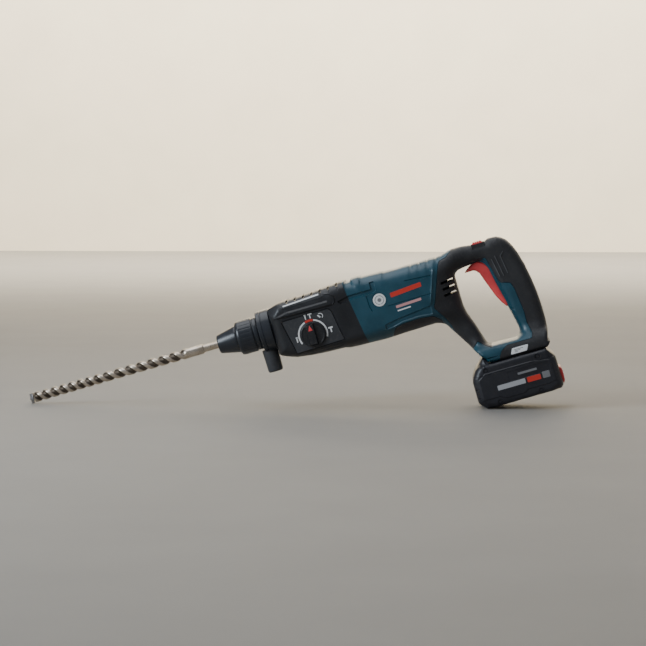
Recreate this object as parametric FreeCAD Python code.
import FreeCAD, Part
import math
import os

# A cordless rotary hammer with a D-handle, an SDS-plus drill bit and a slide-on battery pack.
# Everything is modelled in the tool's own frame, in millimetres: X runs rearwards along the spindle
# from the front of the dust cap, Z is up and -Y is the tool's left side. The exported pieces are then
# tilted into the pose in which the tool lies: on the tip of its bit and the front edge of its battery.

# ---- driving dimensions ----
SHANK_R = 5.0                    # SDS-plus shank
BIT_R = 7.0                      # 14 mm drill
BIT_TIP_X = -267.0
BIT_REAR_X = 43.0                # 310 mm overall
BIT_TRAVEL = 10.0                # axial play that the locking balls allow
CAP_FRONT_R = 12.0
CAP_REAR_R = 18.3
SLEEVE_R = 23.2
CLAMP_R = 28.5
NECK_STUB_R = 10.5               # neck of the side-handle clamp
NECK_STUB_Z = -56.0
BODY_HALF_WIDTH = 37.0
HANDLE_HALF_WIDTH = 18.0
FOOT_HALF_WIDTH = 34.0
PACK_HALF_WIDTH = 40.0
WALL = 3.5
TUBE_BORE_R = 13.0               # guide tube of the hammer piston
TUBE_R = 15.5
RUN = 0.05                       # radial clearance of a running fit

# gear train: rotor pinion -> layshaft gear, layshaft pinion -> spindle gear
MODULE = 1.0
ROTOR_TEETH = 9
LAY_GEAR_TEETH = 29
LAY_PINION_TEETH = 10
SPINDLE_TEETH = 48
LAYSHAFT_Z = -MODULE * (LAY_PINION_TEETH + SPINDLE_TEETH) / 2
ROTOR_Z = LAYSHAFT_Z + MODULE * (ROTOR_TEETH + LAY_GEAR_TEETH) / 2

WOBBLE_X = 168.0                 # centre of the wobble drive
BALL_X = 34.0                    # locking balls
TRIGGER_PIVOT = (392.5, -57.5)
TRIGGER_SWING = 6.5
DIAL_X = 129.8
DIAL_Z = -20.3
DIAL_R = 17.0
BADGE_X = 227.2
BADGE_Z = -0.8
CELL_R = 10.5
CELL_LENGTH = 70.0
PACK_LOW_X = 325.0               # lower front edge of the battery, on which the tool lies
PACK_LOW_Z = -180.3
PACK_SPLIT_Z = -136.0
DECK_Z = -123.3                  # top of the battery under the foot
FOOT_Z = -122.8
BUTTON_HALF_WIDTH = 26.0
BUTTON_TOP_Z = -152.6
BUTTON_LOW_Z = -176.4

PITCH = math.atan2(-PACK_LOW_Z - BIT_R, PACK_LOW_X - BIT_TIP_X)


# ---- small helpers ----
def vec(x, y, z):
    return FreeCAD.Vector(x, y, z)


def box(x0, x1, y0, y1, z0, z1):
    return Part.makeBox(x1 - x0, y1 - y0, z1 - z0, vec(x0, y0, z0))


def rod_x(r, x0, x1, y=0.0, z=0.0):
    return Part.makeCylinder(r, x1 - x0, vec(x0, y, z), vec(1, 0, 0))


def rod_y(r, y0, y1, x, z):
    return Part.makeCylinder(r, y1 - y0, vec(x, y0, z), vec(0, 1, 0))


def rod_z(r, z0, z1, x, y=0.0):
    return Part.makeCylinder(r, z1 - z0, vec(x, y, z0), vec(0, 0, 1))


def ring_x(ro, ri, x0, x1, y=0.0, z=0.0):
    return rod_x(ro, x0, x1, y, z).cut(rod_x(ri, x0 - 1, x1 + 1, y, z))


def fuse(shapes):
    shapes = list(shapes)
    return shapes[0].multiFuse(shapes[1:]).removeSplitter() if len(shapes) > 1 else shapes[0]


def side_face(points):
    """Polygon of (x, z) points in the plane y = 0."""
    corners = [vec(x, 0, z) for x, z in points]
    return Part.Face(Part.makePolygon(corners + corners[:1]))


def side_prism(points, y0, y1):
    """Polygon of (x, z) points, drawn out from y0 to y1."""
    face = side_face(points)
    face.translate(vec(0, y0, 0))
    return face.extrude(vec(0, y1 - y0, 0))


def plan_prism(points, z0, z1):
    """Outline |y| against x, mirrored about y = 0 and drawn out from z0 to z1."""
    corners = [vec(x, y, z0) for x, y in points] + [vec(x, -y, z0) for x, y in reversed(points)]
    return Part.Face(Part.makePolygon(corners + corners[:1])).extrude(vec(0, 0, z1 - z0))


def front_prism(points, x0, x1):
    """Outline |y| against z, mirrored about y = 0 and drawn out from x0 to x1."""
    corners = [vec(x0, y, z) for y, z in points] + [vec(x0, -y, z) for y, z in reversed(points)]
    return Part.Face(Part.makePolygon(corners + corners[:1])).extrude(vec(x1 - x0, 0, 0))


def rounded_bar(half_width, z0, z1, radius, x0, x1):
    """Bar along X with a rounded rectangle as its section."""
    bar = box(x0, x1, -half_width, half_width, z0, z1)
    long_edges = [e for e in bar.Edges if abs(e.Vertexes[0].X - e.Vertexes[1].X) > 1]
    return bar.makeFillet(radius, long_edges)


def turned(points, z=0.0):
    """Solid of revolution about the X-parallel axis at height z, from (x, r) points."""
    corners = [vec(x, 0, z + r) for x, r in points]
    return Part.Face(Part.makePolygon(corners + corners[:1])).revolve(vec(0, 0, z), vec(1, 0, 0), 360)


def coil_spring(radius, wire_r, x0, x1, turns, z=0.0):
    """Compression spring along X."""
    path = Part.makeHelix((x1 - x0 - 2 * wire_r) / turns, x1 - x0 - 2 * wire_r, radius)
    section = Part.Wire(Part.makeCircle(wire_r, vec(radius, 0, 0), vec(0, 1, 0)))
    spring = Part.Wire(path).makePipeShell([section], True, True)
    spring.rotate(vec(0, 0, 0), vec(0, 1, 0), 90)
    spring.translate(vec(x0 + wire_r, 0, z))
    return spring


def bearing(ri, ro, x0, x1, z):
    """Deep-groove ball bearing: two races and the balls between them."""
    middle = (ri + ro) / 2
    ball_r = min((x1 - x0) / 2 - 0.5, (ro - ri) / 4)
    count = int(math.pi * middle / (1.25 * ball_r))
    race = (ro - ri) / 2 - 0.8 * ball_r
    inner = ring_x(ri + race, ri, x0, x1, 0, z)
    outer = ring_x(ro, ro - race, x0, x1, 0, z)
    track = Part.makeTorus(middle, ball_r + 0.03, vec((x0 + x1) / 2, 0, z), vec(1, 0, 0))
    balls = []
    for k in range(count):
        turn = 2 * math.pi * k / count
        centre = vec((x0 + x1) / 2, middle * math.sin(turn), z + middle * math.cos(turn))
        balls.append(Part.makeSphere(ball_r, centre))
    return [inner.cut(track), outer.cut(track)] + balls


def gear(teeth, shift, x0, x1, z, tooth_up):
    """Involute spur gear about an X-parallel axis, with a tooth or a gap pointing at +Z."""
    pitch_r = MODULE * teeth / 2
    pressure = math.radians(20)
    base_r = pitch_r * math.cos(pressure)
    tip_r = pitch_r + MODULE * (0.85 + shift)
    root_r = pitch_r - MODULE * (1.25 - shift)
    backlash = 0.08 * MODULE
    half_tooth = (math.pi / 2 + 2 * shift * math.tan(pressure)) / teeth - backlash / pitch_r
    involute_at_pitch = math.tan(pressure) - pressure
    flank = []
    start_r = max(base_r, root_r)
    steps = 5
    for k in range(steps + 1):
        r = start_r + (tip_r - start_r) * k / steps
        angle = math.acos(min(1.0, base_r / r))
        flank.append((r, half_tooth + involute_at_pitch - math.tan(angle) + angle))
    if root_r < base_r:
        flank.insert(0, (root_r, flank[0][1]))
    points = []
    for tooth in range(teeth):
        centre = 2 * math.pi * (tooth + (0.0 if tooth_up else 0.5)) / teeth
        for r, half in flank:
            points.append((r, centre - half))
        for r, half in reversed(flank):
            points.append((r, centre + half))
    corners = [vec(x0, r * math.sin(a), z + r * math.cos(a)) for r, a in points]
    return Part.Face(Part.makePolygon(corners + corners[:1])).extrude(vec(x1 - x0, 0, 0))


# ---- outlines seen from the side, as (x, z) ----
SHELL_OUTLINE = [
    (170, 36.2), (208, 36.2), (212, 34.4), (240, 33.6), (250, 32.2), (320, 32.2), (335, 36.2), (350, 36.2),
    (363, 34.2), (382, 34.2), (387, 36.7), (398, 36.2), (405, 32.9), (411, 27.6), (416, 19.2), (420, 9.2),
    (425, -8.8), (428.5, -28.8), (431, -48.8), (432, -68.8), (432, -88.8), (431, -98.8), (428, -108.8),
    (427, -113.8), (427.5, -117.5), (424, FOOT_Z), (350, FOOT_Z), (343, -120.8), (341, -115.8),
    (336, -111.8), (333, -106.8), (320, -86.8), (306, -63.8), (303, -58.8), (297, -54.8), (290, -52.8),
    (245, -53.8), (220, -54.8), (200, -53.8), (170, -52.6)]
HAND_OPENING = [
    (331.5, 0.0), (333, 4.2), (338, 7.2), (352, 9.2), (366, 11.2), (372, 8.0), (377, 0.0), (381.5, -23.8),
    (388.5, -53.0), (388.8, -58.8), (394, -83.8), (395, -90.8), (393.5, -96.8), (389, -101.8),
    (354, -100.8), (349, -98.8), (340, -68.8), (333, -48.8), (331.5, -38.8)]
GRIP_REGION = [
    (316, 45), (313, 23.5), (297, -24), (292, -34), (286, -60), (300, -72), (331, -114), (347, -104),
    (335, -52), (328, -40), (328, 4), (336, 12), (352, 15), (380, 17), (392, 8), (402, -30), (409, -60),
    (413, -100), (415, -130), (440, -130), (440, 45)]
TRIGGER_OUTLINE = [
    (344.5, 0.7), (350, 5.2), (354, 8.0), (361, 11.6), (366, 11.8), (371.5, 8.6), (376, 1.2), (381, -23.8),
    (387.5, -52.0), (388.5, -57.5), (386.5, -57.0), (381, -48.8), (376, -38.8), (368, -16.8), (364, -4.8),
    (360, -0.6), (356, 1.0), (350, 0.6)]
TRIGGER_WEB = [(386.0, -50.0), (392.5, -53.2), (392.5, -61.0), (387.5, -57.0)]
GEAR_CASE_OUTLINE = [
    (78, 27.0), (92, 31.6), (97.5, 32.2), (144, 33.2), (178, 36.0), (215, 36.2), (215, -53.8), (172, -52.6),
    (165, -50.4), (140, -49.4), (120, -47.8), (100, -44.8), (86, -39.8), (80, -36.8), (78, -34.0)]
PACK_OUTLINE = [
    (336.2, -112.9), (340.4, -116.3), (342.3, -121.3), (343.2, DECK_Z), (421, DECK_Z), (425, -129.5), (431, -137.5),
    (433, -143.8), (434.5, -158.8), (434, -171.8), (431, -176.8), (427, PACK_LOW_Z), (PACK_LOW_X, PACK_LOW_Z),
    (315.5, -170.8), (315.5, -141.8), (317, -135.8), (323, -126.8), (330, -119.8)]
SEAM = ((184.5, 36.2), (198.0, -53.8))
HANDLE_JOINT = ((315.0, 36.2), (288.0, -54.8))      # under the front edge of the soft grip


def ahead_of(line):
    """The space in front of a slanted joint, given by two of its (x, z) points."""
    (x_top, z_top), (x_low, z_low) = line
    slope = (x_low - x_top) / (z_low - z_top)
    high = x_top + slope * (60 - z_top)
    low = x_top + slope * (-80 - z_top)
    return side_prism([(40, 60), (high, 60), (low, -80), (40, -80)], -60, 60)


# ---- front end ----
def gear_case():
    body = side_prism(GEAR_CASE_OUTLINE, -BODY_HALF_WIDTH, BODY_HALF_WIDTH)
    body = body.common(rounded_bar(BODY_HALF_WIDTH, -53.8, 36.2, 17, 70, 220)).common(ahead_of(SEAM))
    ribs = [box(x, x + 2.8, -22, 22, 30.2, 40) for x in [105.2 + 11.7 * k for k in range(7)]]
    body = body.cut(fuse(ribs))
    neck = rod_x(CLAMP_R - 4.3, 66, 84)
    inside = rounded_bar(BODY_HALF_WIDTH - WALL, -46.8, 27.6, 14, 108, 240)
    inside = inside.common(side_prism([(108, 40), (240, 40), (240, -60), (150, -46.8), (108, -42)], -50, 50))
    case = body.fuse(neck).cut(inside)
    case = case.cut(rod_x(19.0, 60, 80)).cut(rod_x(TUBE_R + 1.0, 79, 110))
    return case.cut(rod_x(6.0, 100, 110, 0, LAYSHAFT_Z)).cut(dial_pocket())


def dial_pocket():
    return rod_y(DIAL_R + 0.4, -60, -31.0, DIAL_X, DIAL_Z).fuse(rod_y(5.0 + RUN, -60, -20, DIAL_X, DIAL_Z))


def dial_panel():
    plate = side_prism([(93, 6.5), (158, 6.5), (163, 0), (169, -38.5), (101, -38.5), (96, -8)],
                       -BODY_HALF_WIDTH - 1.6, -BODY_HALF_WIDTH)
    return plate.cut(rod_y(DIAL_R + 0.4, -60, -20, DIAL_X, DIAL_Z))


def mode_dial():
    disc = rod_y(DIAL_R, -39.6, -31.4, DIAL_X, DIAL_Z)
    spine = box(DIAL_X - 7.5, DIAL_X + 4.5, -43.5, -39.0, DIAL_Z - 15, DIAL_Z + 15)
    stem = rod_y(5.0, -32, -22, DIAL_X, DIAL_Z)
    return disc.fuse(spine.common(rod_y(DIAL_R - 0.5, -60, -20, DIAL_X, DIAL_Z))).fuse(stem).cut(pointer())


def pointer():
    return side_prism([(DIAL_X - 3.4, DIAL_Z + 6.2), (DIAL_X + 1.4, DIAL_Z + 6.2), (DIAL_X - 1.0, DIAL_Z + 13)],
                      -43.7, -42.7)


def clamp_ring():
    ring = ring_x(CLAMP_R, CLAMP_R - 4.3 + RUN, 59.2, 77.8)
    front_lip = ring_x(CLAMP_R, SLEEVE_R + 0.7, 59.2, 65.6)
    band = ring.cut(rod_x(CLAMP_R - 1, 50, 65.6)).fuse(front_lip)
    boss = box(60, 77, 20, 38, -8, 8).cut(rod_x(CLAMP_R - 1, 50, 90))
    rod_hole = rod_x(4.0, 50, 90, 33, 0)
    saddle = box(57, 73.5, -11, 11, -33, -25).cut(rod_x(CLAMP_R - 1, 50, 90))
    return band.fuse(boss).fuse(saddle).cut(rod_hole).cut(rod_z(4.2, -40, -20, 65))


def grip_neck():
    stub = rod_z(NECK_STUB_R, NECK_STUB_Z, -33.0, 65)
    bolt = rod_z(4.0, -34, -CLAMP_R + 1.5, 65)
    return stub.fuse(bolt).cut(rod_z(4.0, NECK_STUB_Z - 1, NECK_STUB_Z + 14, 65))


# ---- chuck and spindle ----
def dust_cap():
    return turned([(0, 5.4), (0, CAP_FRONT_R), (1.5, CAP_FRONT_R + 0.6), (26, CAP_REAR_R), (28, CAP_REAR_R),
                   (28, 11.2), (6.2, 11.2), (6.2, 5.4)])


def spindle_tube():
    nose = turned([(6.5, 5.05), (6.5, 10.9), (62, 10.9), (62, TUBE_R - 0.5), (80, TUBE_R - 0.5), (80, TUBE_R),
                   (152, TUBE_R), (152, TUBE_BORE_R), (92, TUBE_BORE_R), (92, 8.0), (47, 8.0), (47, 5.05)])
    for side in (1, -1):
        nose = nose.cut(rod_z(3.6, 4.0, 12.0, BALL_X) if side > 0 else rod_z(3.6, -12.0, -4.0, BALL_X))
    return nose


def locking_balls():
    return [Part.makeSphere(3.5, vec(BALL_X, 0, side * 7.35)) for side in (1, -1)]


def ball_retainer():
    return ring_x(SLEEVE_R - 4.2, 11.2, BALL_X - 5.5, BALL_X + 5.5)


def locking_sleeve():
    grip = turned([(28.4, SLEEVE_R - 4.2), (28.4, 22.0), (31, SLEEVE_R), (50.5, SLEEVE_R), (51.5, 22.3),
                   (58, 22.3), (58, 20.0), (46, 20.0), (46, SLEEVE_R - 4.2)])
    flutes = [rod_x(1.2, 33, 50.5, (SLEEVE_R + 0.5) * math.sin(t), (SLEEVE_R + 0.5) * math.cos(t))
              for t in [2 * math.pi * k / 24 for k in range(24)]]
    return grip.cut(fuse(flutes))


def sleeve_spring():
    return coil_spring(14.0, 0.9, BALL_X + 5.7, 60, 5)


def spindle_gear():
    wheel = gear(SPINDLE_TEETH, -0.4, 113, 125, 0, False).cut(rod_x(TUBE_R, 100, 140))
    return wheel.cut(ring_x(21, 18, 121, 130))


def clutch_spring():
    return coil_spring(17.2, 1.1, 125.2, 146, 4)


def drill_bit():
    fluted = turned([(-262, 0), (-262, BIT_R - 0.4), (-45, BIT_R - 0.4), (-21, 6.5), (-20, SHANK_R),
                     (BIT_REAR_X - 1.2, SHANK_R), (BIT_REAR_X, SHANK_R - 1.2), (BIT_REAR_X, 0)])
    for side in (1, -1):
        pocket = fuse([Part.makeSphere(3.65, vec(BALL_X - 0.4, 0, side * 7.35)),
                       rod_x(3.65, BALL_X - 0.4, BALL_X + BIT_TRAVEL + 0.4, 0, side * 7.35),
                       Part.makeSphere(3.65, vec(BALL_X + BIT_TRAVEL + 0.4, 0, side * 7.35))])
        fluted = fluted.cut(pocket)
        fluted = fluted.cut(box(8, BIT_REAR_X + 1, -6 if side < 0 else 3.4, -3.4 if side < 0 else 6, -1.3, 1.3))
    return fluted


def carbide_head():
    blades = box(BIT_TIP_X, -256, -BIT_R, BIT_R, -1.5, 1.5).fuse(box(BIT_TIP_X, -256, -1.5, 1.5, -BIT_R, BIT_R))
    cone = turned([(BIT_TIP_X, 0), (BIT_TIP_X, 2.0), (BIT_TIP_X + 4, BIT_R), (-262, BIT_R), (-262, 0)])
    return cone.common(rod_x(BIT_R, BIT_TIP_X, -262)).fuse(blades.common(rod_x(BIT_R, BIT_TIP_X, -262)))


# ---- hammer mechanism ----
def impact_bolt():
    return turned([(44, 0), (44, 4.6), (58, 4.6), (60, 7.6), (76, 7.6), (78, 4.9), (92, 4.9), (92, 0)])


def hammer_piston():
    cup = turned([(112, TUBE_BORE_R - RUN), (150, TUBE_BORE_R - RUN), (150, 0), (146, 0), (146, 10.0 + RUN),
                  (112, 10.0 + RUN)])
    ears = [box(150, 175, 8.0 if side > 0 else -12.0, 12.0 if side > 0 else -8.0, -6.8, 6.8) for side in (1, -1)]
    return cup.fuse(ears[0]).fuse(ears[1]).cut(rod_y(4.9 + RUN, -20, 20, WOBBLE_X, 0)).common(
        rod_x(TUBE_BORE_R - RUN, 100, 200))


def piston_pin():
    pin = rod_y(4.9, -11.4, 11.4, WOBBLE_X, 0).fuse(rod_y(6.4, -7.7, 7.7, WOBBLE_X, 0))
    return pin.cut(rod_z(3.6, -10, 10, WOBBLE_X))


def wobble_ring():
    ring = ring_x(15.8, 12.0, WOBBLE_X - 4.5, WOBBLE_X + 4.5, 0, LAYSHAFT_Z)
    groove = Part.makeTorus(11.6, 2.3, vec(WOBBLE_X, 0, LAYSHAFT_Z), vec(1, 0, 0))
    finger = rod_z(3.3, LAYSHAFT_Z + 14.5, 6.0, WOBBLE_X)
    oil_holes = rod_y(1.2, -20, 20, WOBBLE_X, LAYSHAFT_Z)
    return ring.cut(groove).fuse(finger).cut(oil_holes)


def wobble_balls():
    balls = []
    for k in range(12):
        turn = 2 * math.pi * k / 12
        centre = vec(WOBBLE_X, 11.6 * math.sin(turn), LAYSHAFT_Z + 11.6 * math.cos(turn))
        balls.append(Part.makeSphere(2.2, centre))
    return balls


def wobble_hub():
    hub = Part.makeSphere(9.3, vec(WOBBLE_X, 0, LAYSHAFT_Z))
    return hub.common(rod_x(12, WOBBLE_X - 8, WOBBLE_X + 8, 0, LAYSHAFT_Z)).cut(
        rod_x(5.0, WOBBLE_X - 20, WOBBLE_X + 20, 0, LAYSHAFT_Z))


def layshaft():
    shaft = rod_x(3.5, 100.5, 204, 0, LAYSHAFT_Z).fuse(rod_x(5.0, 126, 195.5, 0, LAYSHAFT_Z))
    return shaft.fuse(gear(LAY_PINION_TEETH, 0.4, 112, 126.5, LAYSHAFT_Z, True))


def layshaft_gear():
    return gear(LAY_GEAR_TEETH, -0.45, 185, 194.5, LAYSHAFT_Z, False).cut(rod_x(5.0, 180, 200, 0, LAYSHAFT_Z))


def coupling_sleeve():
    return ring_x(8.5, 5.0, 132, 148, 0, LAYSHAFT_Z).cut(ring_x(9.5, 7.2, 138, 142, 0, LAYSHAFT_Z))


def striker():
    body = turned([(114, 0), (114, 5.0), (120, 5.0), (122, 10.0 - RUN), (138, 10.0 - RUN), (138, 0)])
    return body.cut(ring_x(11, 8.6, 128, 130.6))


def striker_seal():
    return ring_x(10.0 - RUN, 8.6, 128, 130.6)


# ---- motor ----
def rotor_shaft():
    shaft = rod_x(3.0, 190, 292, 0, ROTOR_Z).fuse(rod_x(3.95, 198, 284, 0, ROTOR_Z))
    pinion = gear(ROTOR_TEETH, 0.45, 186.2, 197.4, ROTOR_Z, False)
    return fuse([pinion, shaft])


def rotor_core():
    return ring_x(13.0, 3.95, 226, 268, 0, ROTOR_Z)


def cooling_fan():
    hub = ring_x(9.0, 3.95, 209, 219, 0, ROTOR_Z).fuse(ring_x(26.0, 8.5, 217.5, 219, 0, ROTOR_Z))
    blades = []
    for k in range(9):
        blade = box(209.5, 217.6, 8.0, 25.5, ROTOR_Z - 0.7, ROTOR_Z + 0.7)
        blade.rotate(vec(0, 0, ROTOR_Z), vec(1, 0, 0), 40 * k)
        blades.append(blade)
    return fuse([hub] + blades)


def stator_core():
    ring = ring_x(26.0, 21.0, 226, 268, 0, ROTOR_Z)
    teeth = []
    for k in range(6):
        tooth = box(226, 268, -3.2, 3.2, ROTOR_Z + 14, ROTOR_Z + 22)
        tooth.rotate(vec(0, 0, ROTOR_Z), vec(1, 0, 0), 60 * k)
        teeth.append(tooth)
    return fuse([ring] + teeth)


def stator_windings():
    coils = []
    for k in range(6):
        coil = box(222, 272, -5.4, 5.4, ROTOR_Z + 15, ROTOR_Z + 19.8)
        coil = coil.cut(box(226, 268, -3.2, 3.2, ROTOR_Z + 10, ROTOR_Z + 25))
        coil.rotate(vec(0, 0, ROTOR_Z), vec(1, 0, 0), 60 * k)
        coils.append(coil)
    return coils


def intermediate_flange():
    plate = rounded_bar(BODY_HALF_WIDTH - WALL - 0.2, -49.8, 29.4, 18.5, 199.5, 206.5)
    plate = plate.cut(rod_x(8.0, 190, 210, 0, ROTOR_Z))
    return plate.cut(rod_x(6.5, 190, 210, 0, LAYSHAFT_Z))


def bearings():
    return {
        "spindle_bearings": bearing(TUBE_R - 0.5 + RUN, 19.0, 68, 79, 0)
        + [ring_x(20.5, TUBE_R + RUN, 147, 152, 0, 0)],
        "layshaft_bearings": [ring_x(6.0, 3.5 + RUN, 101, 108, 0, LAYSHAFT_Z),
                              ring_x(6.5, 3.5 + RUN, 199.5, 205, 0, LAYSHAFT_Z)],
        "rotor_bearings": [ring_x(8.0, 3.95 + RUN, 199.5, 206.5, 0, ROTOR_Z)]
        + bearing(3.0 + RUN, 9.5, 285, 291, ROTOR_Z),
    }


# ---- housing shells and grips ----
def shell_volume():
    """The whole outside of the two shells and their grips, before they are hollowed and parted."""
    plate = side_face(SHELL_OUTLINE).cut(side_face(HAND_OPENING))
    solid = plate.extrude(vec(0, 2 * BODY_HALF_WIDTH, 0))
    solid.translate(vec(0, -BODY_HALF_WIDTH, 0))
    upper = plan_prism([(150, BODY_HALF_WIDTH), (296, BODY_HALF_WIDTH), (318, 30), (342, HANDLE_HALF_WIDTH + 1),
                        (366, HANDLE_HALF_WIDTH), (440, HANDLE_HALF_WIDTH)], -66, 60)
    upper = upper.common(rounded_bar(BODY_HALF_WIDTH, -54.8, 36.7, 20, 150, 300).fuse(
        box(300, 440, -BODY_HALF_WIDTH, BODY_HALF_WIDTH, -66, 50)))
    lower = front_prism([(HANDLE_HALF_WIDTH, -40), (HANDLE_HALF_WIDTH, -88), (FOOT_HALF_WIDTH - 3, -103),
                         (FOOT_HALF_WIDTH, -108), (FOOT_HALF_WIDTH, -130)], 286, 440)
    return solid.common(upper.fuse(lower)).cut(ahead_of(SEAM))


def grip_core():
    """What is left inside the soft grip: the outline drawn in by the grip's thickness."""
    face = side_face(SHELL_OUTLINE).makeOffset2D(-2.4)
    solid = face.extrude(vec(0, 2 * BODY_HALF_WIDTH, 0))
    solid.translate(vec(0, -BODY_HALF_WIDTH, 0))
    narrow = plan_prism([(150, 34.6), (296, 34.6), (318, 27.6), (342, HANDLE_HALF_WIDTH - 1.4),
                         (440, HANDLE_HALF_WIDTH - 2.4)], -70, 60)
    low = front_prism([(HANDLE_HALF_WIDTH - 2.4, -40), (HANDLE_HALF_WIDTH - 2.4, -88),
                       (FOOT_HALF_WIDTH - 5.4, -103), (FOOT_HALF_WIDTH - 2.4, -108),
                       (FOOT_HALF_WIDTH - 2.4, -130)], 286, 440)
    return solid.common(narrow.fuse(low))


def shell_hollows():
    """Motor room, handle and strut channels, foot room and the rail slot for the battery."""
    motor_room = rounded_bar(BODY_HALF_WIDTH - WALL, -50.0, 29.6, 17, 150, 296)
    handle_room = side_prism([(386, 8), (408, 10), (414, -8), (420, -40), (422, -92), (404, -92), (399, -60),
                              (390, -30), (383, -4)], -13, 13)
    top_room = side_prism([(290, 22), (386, 22), (392, 27), (404, 24), (409, 8), (386, 6), (380, 17), (340, 15),
                           (325, 12), (290, 12)], -13, 13)
    strut_room = side_prism([(296, -30), (322, -30), (331, -66), (343, -98), (334, -98), (312, -62),
                             (296, -44)], -12, 12)
    foot_room = box(349, 416, -28.5, 28.5, -115.9, -104)
    rail_slot = box(330, 416, -28.5, 28.5, -120.0, -115.8).fuse(box(330, 416, -22.5, 22.5, -130, -119.9))
    return [motor_room, handle_room, top_room, strut_room, foot_room, rail_slot,
            box(364, 380, -15.6, 15.6, 27.6, 45)]


def trigger_room():
    """The space that the trigger sweeps, with its clearance all round."""
    swept = []
    for outline in (TRIGGER_OUTLINE, TRIGGER_WEB):
        grown = side_face(outline).makeOffset2D(0.6)
        for k in range(5):
            part = grown.extrude(vec(0, 20, 0))
            part.translate(vec(0, -10, 0))
            part.rotate(vec(TRIGGER_PIVOT[0], 0, TRIGGER_PIVOT[1]), vec(0, 1, 0), TRIGGER_SWING * 1.05 * k / 4)
            swept.append(part)
    lug = rod_y(5.2, -10, 10, *TRIGGER_PIVOT)
    return fuse(swept + [lug])


def trigger():
    blade = side_prism(TRIGGER_OUTLINE, -9.4, 9.4)
    lug = rod_y(4.4, -9.4, 9.4, *TRIGGER_PIVOT)
    web = side_prism(TRIGGER_WEB, -9.4, 9.4)
    return fuse([blade, lug, web]).cut(rod_y(1.5 + RUN, -20, 20, *TRIGGER_PIVOT))


SCREW_PLACES = [(212, -46.5), (212, 25), (285, -45), (300, 24.5), (345, -111), (408, -97.5), (398, 15)]


def screw_at(x, z, side_reach):
    """Screw from the right shell into the left one."""
    return rod_y(1.8, -side_reach, side_reach - 3, x, z).fuse(rod_y(3.2, side_reach - 3.2, side_reach - 0.6, x, z))


def housing_screws():
    reaches = [26, 26, 28, 18, 18, 14, 13]
    return [screw_at(x, z, reach) for (x, z), reach in zip(SCREW_PLACES, reaches)]


def housing():
    """The two shells, the two soft grips, and the trims let into the left side."""
    volume = shell_volume()
    grip = volume.common(side_prism(GRIP_REGION, -50, 50)).cut(grip_core())
    belly = volume.common(side_prism([(230, -60), (235, -42.5), (245, -39.6), (270, -38.8), (290, -40.8),
                                      (286, -60)], -50, 50))
    belly = belly.cut(rounded_bar(BODY_HALF_WIDTH - 1.6, -51.6, 34, 18, 200, 310))
    hollows = shell_hollows()
    cutters = hollows + [trigger_room(), badge_disc(), foot_label(), rod_y(1.5, -13, 13, *TRIGGER_PIVOT)]
    cutters += housing_screws()
    shell = volume.cut(grip).cut(belly)
    for cutter in cutters:
        shell = shell.cut(cutter)
        grip = grip.cut(cutter)
    grip = grip.fuse(belly.cut(housing_screws()[2]))
    for x in range(3):
        slot = side_prism([(310, -1.0 - 8.6 * x), (327, 0.6 - 8.6 * x), (327, -3.0 - 8.6 * x),
                           (310, -4.6 - 8.6 * x)], -50, 50)
        shell = shell.cut(slot)
        grip = grip.cut(slot)
    motor_end = ahead_of(HANDLE_JOINT)
    halves = {"left": box(100, 500, -80, 0, -200, 100), "right": box(100, 500, 0, 80, -200, 100)}
    pieces = {}
    for side, half in halves.items():
        pieces["motor_shell_" + side] = shell.common(half).common(motor_end)
        pieces["handle_shell_" + side] = shell.common(half).cut(motor_end)
        pieces["grip_overmold_" + side] = grip.common(half)
    return pieces


def badge_disc():
    return rod_y(8.7, -BODY_HALF_WIDTH - 0.3, -BODY_HALF_WIDTH + 0.9, BADGE_X, BADGE_Z)


def foot_label():
    return side_prism([(372, -119.6), (396, -119.6), (400, -111), (376, -111)],
                      -FOOT_HALF_WIDTH - 0.2, -FOOT_HALF_WIDTH + 0.6)


def direction_slider():
    return box(364.5, 379.5, -11, 11, 28.0, 35.6).fuse(box(366, 378, -9.5, 9.5, 35.0, 37.2))


def trigger_switch():
    body = side_prism([(388.5, 2), (408, 4), (413, -14), (417, -42), (403, -42), (394, -24)], -11, 11)
    return body


def terminal_block():
    block = box(362, 384, -17, 17, -115.6, -108.5)
    for y in (-12, -4, 4, 12):
        block = block.fuse(box(364, 376, y - 0.4, y + 0.4, -118.8, -115.0))
    return block


# ---- battery pack ----
def pack_volume():
    solid = side_prism(PACK_OUTLINE, -PACK_HALF_WIDTH, PACK_HALF_WIDTH)
    return solid.common(rounded_bar(PACK_HALF_WIDTH, -181.0, -100, 6, 300, 440))


def pack_room():
    low = side_prism([(319, -128), (319, -172), (325.4, -178.2), (425, -178.2), (430.4, -172), (430.4, -137),
                      (421, -128)], -36.6, 36.6)
    return low.cut(side_prism([(300, -120), (330, -120), (318, -137), (300, -137)], -50, 50))


def release_button():
    block = box(431.0, 440, -BUTTON_HALF_WIDTH, BUTTON_HALF_WIDTH, BUTTON_LOW_Z, BUTTON_TOP_Z)
    return block.common(side_prism(PACK_OUTLINE, -PACK_HALF_WIDTH, PACK_HALF_WIDTH))


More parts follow.
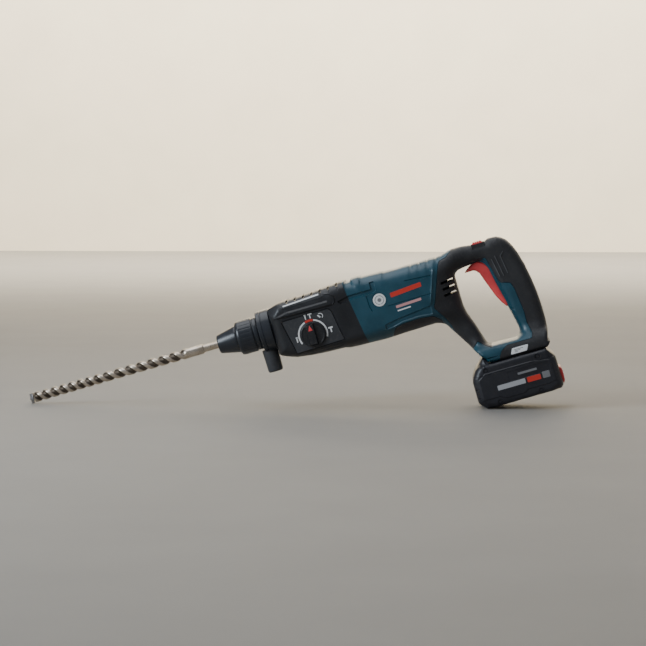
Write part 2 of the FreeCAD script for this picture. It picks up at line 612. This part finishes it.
def battery():
    volume = pack_volume()
    room = pack_room()
    below = box(300, 450, -60, 60, -200, PACK_SPLIT_Z)
    button_side = BUTTON_HALF_WIDTH + 0.4
    button_room = box(428, 440, -button_side, button_side, BUTTON_LOW_Z - 0.4, BUTTON_TOP_Z + 0.4)
    case = volume.common(below).cut(room).cut(button_room)
    rails = box(346, 412, -22.0, 22.0, DECK_Z - 1, -118.9).fuse(box(346, 412, -28.0, 28.0, -119.6, -116.3))
    for y in (-12, -4, 4, 12):
        rails = rails.cut(box(360, 420, y - 1.2, y + 1.2, -120.6, -110))
    cover = volume.cut(below).cut(room).fuse(rails)
    return {"battery_case": case, "battery_cover": cover, "battery_cells": battery_cells(),
            "battery_board": box(345, 405, -25, 25, -133.8, -131.0), "release_button": release_button()}


def battery_cells():
    cells = []
    for row in range(2):
        for column in range(5):
            x = 330.8 + 21.6 * column
            z = -167.2 + 21.4 * row
            cells.append(rod_y(CELL_R, -CELL_LENGTH / 2, CELL_LENGTH / 2, x, z))
    return cells


# ---- the whole tool ----
def build():
    parts = {
        "gear_housing": gear_case(),
        "dial_panel": dial_panel(),
        "mode_dial": mode_dial(),
        "dial_pointer": pointer(),
        "clamp_ring": clamp_ring(),
        "grip_neck": grip_neck(),
        "dust_cap": dust_cap(),
        "spindle_tube": spindle_tube(),
        "locking_balls": locking_balls(),
        "ball_retainer": ball_retainer(),
        "locking_sleeve": locking_sleeve(),
        "sleeve_spring": sleeve_spring(),
        "spindle_gear": spindle_gear(),
        "clutch_spring": clutch_spring(),
        "spindle_seal": ring_x(19.0, TUBE_R - 0.5 + RUN, 66, 68),
        "drill_bit": drill_bit(),
        "carbide_head": carbide_head(),
        "impact_bolt": impact_bolt(),
        "hammer_piston": hammer_piston(),
        "piston_pin": piston_pin(),
        "wobble_ring": wobble_ring(),
        "wobble_balls": wobble_balls(),
        "wobble_hub": wobble_hub(),
        "layshaft": layshaft(),
        "layshaft_gear": layshaft_gear(),
        "coupling_sleeve": coupling_sleeve(),
        "striker": striker(),
        "striker_seal": striker_seal(),
        "rotor_shaft": rotor_shaft(),
        "rotor_core": rotor_core(),
        "cooling_fan": cooling_fan(),
        "stator_core": stator_core(),
        "stator_windings": stator_windings(),
        "intermediate_flange": intermediate_flange(),
        "badge_disc": badge_disc(),
        "foot_label": foot_label(),
        "housing_screws": housing_screws(),
        "trigger": trigger(),
        "trigger_pin": rod_y(1.5, -13, 13, *TRIGGER_PIVOT),
        "trigger_switch": trigger_switch(),
        "direction_slider": direction_slider(),
        "control_board": box(352, 412, -26, 26, -107.6, -104.4),
        "terminal_block": terminal_block(),
    }
    parts.update(bearings())
    parts.update(housing())
    parts.update(battery())
    return parts


def export(parts):
    """Tilt the tool into its resting pose, centre it on its box and write one file per piece."""
    tilt = FreeCAD.Placement(vec(0, 0, 0), FreeCAD.Rotation(vec(0, 1, 0), -math.degrees(PITCH)))
    whole = FreeCAD.BoundBox()
    shapes = {}
    for name, piece in parts.items():
        shape = Part.makeCompound(piece) if isinstance(piece, list) else piece
        shape = shape.copy()
        shape.Placement = tilt.multiply(shape.Placement)
        shapes[name] = shape
        whole.add(shape.optimalBoundingBox(False))
    shift = vec(-whole.Center.x, -whole.Center.y, -whole.ZMin)
    for name, shape in shapes.items():
        shape.translate(shift)
        shape.exportStep("parts/" + name + ".step")
        good = all(s.isValid() and s.isClosed() for s in shape.Solids) and len(shape.Solids) > 0
        print(name, len(shape.Solids), round(shape.Volume / 1000, 2), "ok" if good else "BAD")
    print("pitch", math.degrees(PITCH), "shift", tuple(shift), "size", whole.XLength, whole.YLength, whole.ZLength)


os.makedirs("parts", exist_ok=True)
export(build())
